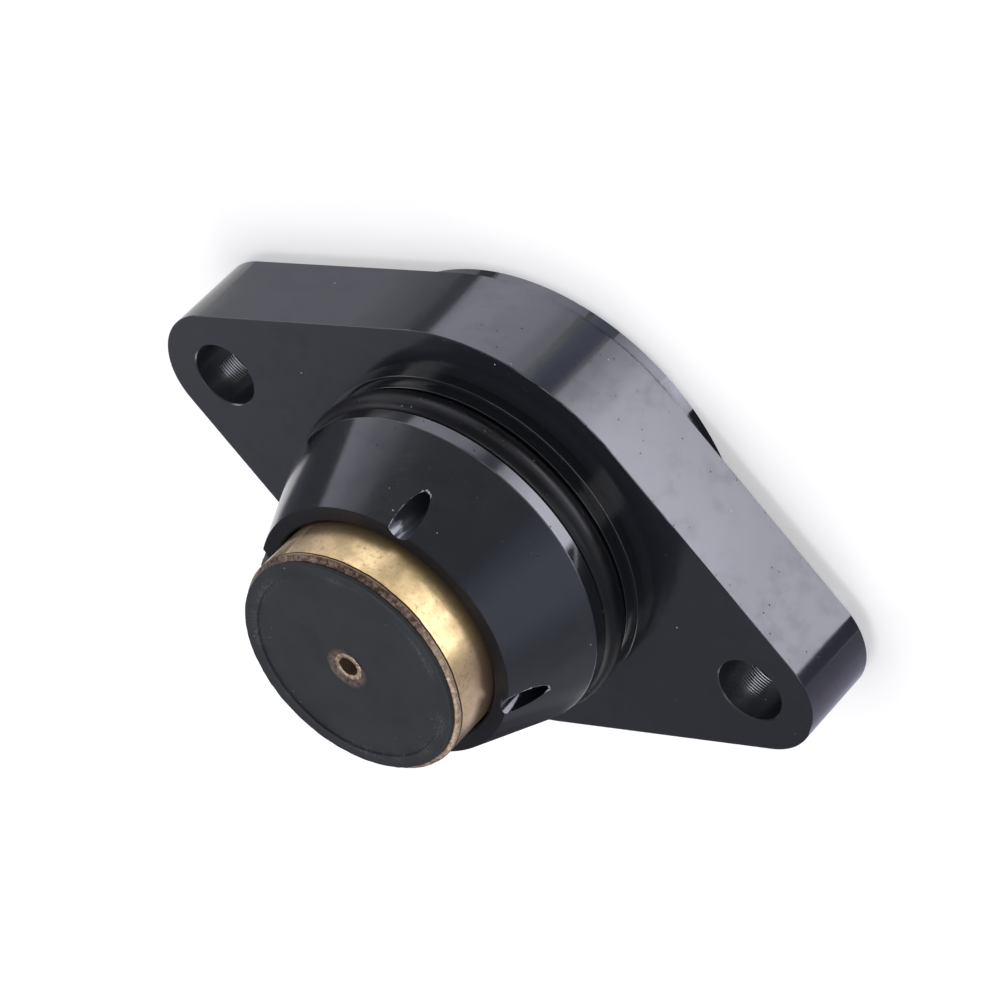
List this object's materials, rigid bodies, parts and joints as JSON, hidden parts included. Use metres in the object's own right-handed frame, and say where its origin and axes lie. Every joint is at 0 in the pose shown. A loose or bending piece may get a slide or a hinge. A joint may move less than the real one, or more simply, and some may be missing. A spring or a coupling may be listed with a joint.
{
  "type": "blow off valve",
  "caption": "Black anodised piston blow off valve: rhombic flange with screw holes, cone nose with passages, sprung brass piston with a rubber face and jet, and a rear cap.",
  "frame": {"origin": "centre of the cap's flat rear face, on the valve's axis", "axes": "+Z along the valve's axis towards the piston's face, X along the long side of the flange through both screw holes"},
  "size_m": [0.0764, 0.0468, 0.0343],
  "materials": {
    "black_anodised": "gloss",
    "brass": "satin",
    "nitrile": "satin",
    "facing": "matte",
    "ptfe": "matte",
    "spring_steel": "satin",
    "stainless": "satin",
    "urethane": "satin"
  },
  "bodies": {
    "housing": {"valve_body": "black_anodised", "nose_o_ring": "nitrile", "rear_cap": "black_anodised", "cap_o_ring": "nitrile", "pilot_seat": "brass", "spring_seat": "stainless", "bump_stop": "urethane", "return_spring": "spring_steel", "cap_screw_1": "stainless", "cap_screw_2": "stainless", "cap_screw_3": "stainless", "cap_screw_4": "stainless", "cap_screw_5": "stainless", "cap_screw_6": "stainless"},
    "piston_group": {"piston": "brass", "piston_face_seal": "facing", "pilot_jet": "brass", "piston_guide_ring": "ptfe", "piston_seal_ring": "nitrile"}
  },
  "joints": [
    {"name": "piston_slide", "type": "slide", "parent": "housing", "child": "piston_group", "axis": [0, 0, -1], "range_m": [0, 0.0075], "stiffness_N_per_m": 900, "deforming": ["return_spring"]}
  ]
}
